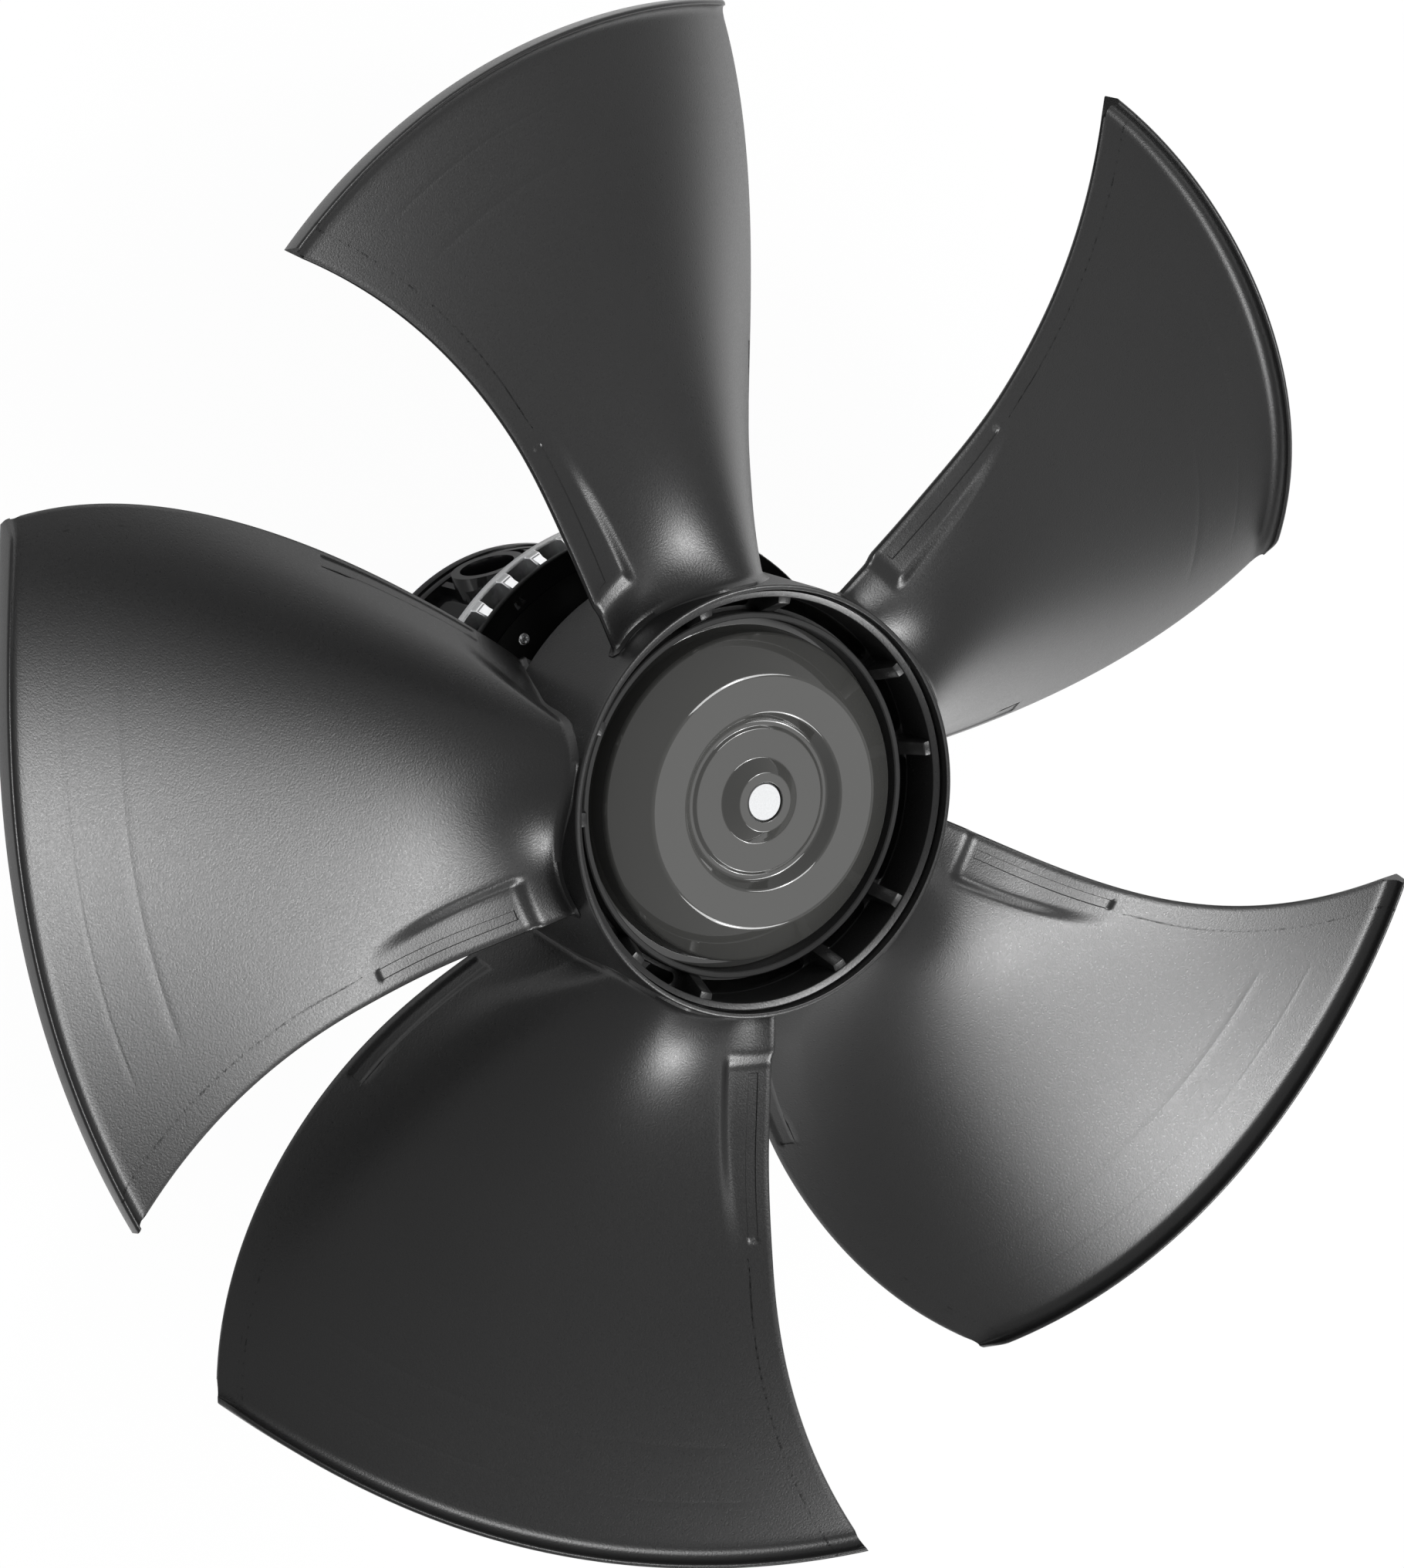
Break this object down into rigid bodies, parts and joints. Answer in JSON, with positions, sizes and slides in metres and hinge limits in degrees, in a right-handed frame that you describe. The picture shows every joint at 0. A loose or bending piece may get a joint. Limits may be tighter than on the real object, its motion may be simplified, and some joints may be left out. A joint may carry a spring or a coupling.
{
  "type": "axial fan impeller",
  "caption": "Axial fan impeller with swept moulded blades on an external-rotor motor, with a finned mounting flange and round electronics housing.",
  "frame": {"origin": "centre of the rear face of the electronics end cap, on the fan's axis", "axes": "+Z along the fan's axis towards its front, from the end cap to the rotor's nose; the first blade lies between +X and +Y"},
  "size_m": [0.7976, 0.7977, 0.288],
  "materials": {
    "impeller_plastic": "fine satin grain, moulded",
    "insert_alloy": "fine turned",
    "rotor_paint": "semi-gloss coat",
    "ground_steel": "ground",
    "spring_steel": "oiled",
    "magnet": "epoxy coat",
    "bearing_steel": "polished",
    "cast_aluminium": "fine cast skin",
    "plate_plastic": "satin",
    "screw_steel": "zinc plated",
    "core_steel": "stacked sheets",
    "insulator_plastic": "moulded",
    "copper_wire": "enamelled copper",
    "seal_rubber": "moulded",
    "lead_jacket": "sleeved",
    "housing_plastic": "gloss moulded",
    "board_laminate": "solder mask",
    "capacitor_sleeve": "sleeved can",
    "ferrite": "coated core",
    "module_case": "moulded case",
    "thermal_pad": "soft sheet",
    "terminal_plastic": "moulded"
  },
  "bodies": {
    "stator": {"stator_flange": "cast_aluminium", "splash_plate": "plate_plastic", "splash_plate_screws": "screw_steel", "guard_ring": "plate_plastic", "stator_core": "core_steel", "insulator_front": "insulator_plastic", "insulator_rear": "insulator_plastic", "stator_windings": "copper_wire", "front_bearing_outer_ring": "bearing_steel", "rear_bearing_outer_ring": "bearing_steel", "preload_washer": "spring_steel", "bearing_cover": "cast_aluminium", "lead_grommet": "seal_rubber", "phase_leads": "lead_jacket", "electronics_housing": "housing_plastic", "housing_screws": "screw_steel", "end_cap": "housing_plastic", "end_cap_gasket": "seal_rubber", "end_cap_screws": "screw_steel", "circuit_board": "board_laminate", "board_screws": "screw_steel", "capacitors": "capacitor_sleeve", "choke": "ferrite", "power_module": "module_case", "thermal_pad": "thermal_pad", "terminal_block": "terminal_plastic"},
    "rotor": {"impeller": "impeller_plastic", "hub_insert_ring": "insert_alloy", "rotor_can": "rotor_paint", "rotor_shaft": "ground_steel", "shaft_retaining_ring": "spring_steel", "rotor_magnets": "magnet", "front_bearing_inner_ring": "bearing_steel", "rear_bearing_inner_ring": "bearing_steel"}
  },
  "joints": [
    {"name": "rotor_spin", "type": "hinge", "parent": "stator", "child": "rotor", "pos_m": [0, 0, 0.2], "axis": [0, 0, 1], "continuous": true}
  ]
}
